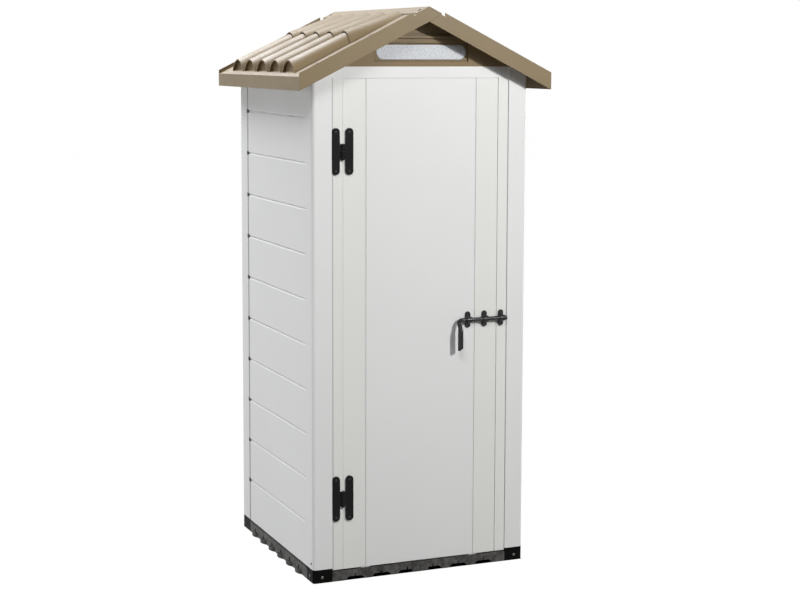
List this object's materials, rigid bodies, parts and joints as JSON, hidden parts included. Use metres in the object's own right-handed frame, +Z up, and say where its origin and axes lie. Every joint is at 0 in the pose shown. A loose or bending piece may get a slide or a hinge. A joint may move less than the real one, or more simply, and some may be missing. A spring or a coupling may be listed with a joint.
{
  "type": "garden storage cabinet",
  "caption": "Tall narrow plastic garden cabinet with panel walls, a hinged door with a slide bolt, a black tiled floor base and a gable roof with tile-effect barrels.",
  "frame": {"origin": "on the ground, under the middle of the roof, which is also the middle of the four walls", "axes": "+Z up; -Y is the front, where the door is; +X is to the right of someone who faces the door"},
  "size_m": [0.948, 0.935, 2.0115],
  "materials": {
    "floor_black": "graphite polypropylene, fine moulded grain",
    "foot_black": "black plastic, slightly glossy",
    "screw_zinc": "zinc plated",
    "screw_dark": "blackened screws",
    "wall_white": "off-white PVC, satin",
    "door_white": "off-white PVC, satin",
    "roof_brown": "taupe polypropylene, paler on the tiles",
    "gable_brown": "taupe brown polypropylene",
    "window_frosted": "frosted translucent plastic with a hammered face",
    "hinge_black": "black nylon, satin",
    "pin_steel": "steel pin",
    "bolt_black": "black painted metal, satin"
  },
  "bodies": {
    "root": {"bolt_keeper": "bolt_black", "bolt_keeper_screws": "screw_dark", "corner_foot_front_left": "foot_black", "corner_foot_front_right": "foot_black", "corner_foot_rear_left": "foot_black", "corner_foot_rear_right": "foot_black", "door_header": "wall_white", "door_jamb_left": "wall_white", "door_jamb_right": "wall_white", "floor_tile_left": "floor_black", "floor_tile_right": "floor_black", "foot_screws": "screw_zinc", "gable_front": "gable_brown", "gable_rear": "gable_brown", "gable_window": "window_frosted", "hinge_frame_leaf_lower": "hinge_black", "hinge_frame_leaf_upper": "hinge_black", "hinge_frame_screws": "screw_dark", "hinge_pin_lower": "pin_steel", "hinge_pin_upper": "pin_steel", "roof_left": "roof_brown", "roof_right": "roof_brown", "roof_screws": "screw_dark", "wall_back": "wall_white", "wall_left": "wall_white", "wall_right": "wall_white", "wall_screws": "screw_dark"},
    "door": {"door_panel_left": "door_white", "door_panel_centre": "door_white", "door_panel_right": "door_white", "door_strip_left": "door_white", "door_strip_right": "door_white", "hinge_door_leaf_upper": "hinge_black", "hinge_door_leaf_lower": "hinge_black", "hinge_door_screws": "screw_dark", "bolt_staple_outer": "bolt_black", "bolt_staple_inner": "bolt_black", "bolt_staple_screws": "screw_dark"},
    "bolt": {"bolt_rod": "bolt_black"}
  },
  "joints": [
    {"name": "door_swing", "type": "hinge", "parent": "root", "child": "door", "pos_m": [-0.297, -0.4105, 0.9], "axis": [0, 0, -1], "range_deg": [0, 120]},
    {"name": "bolt_slide", "type": "slide", "parent": "door", "child": "bolt", "axis": [-1, 0, 0], "range_m": [0, 0.045]}
  ]
}
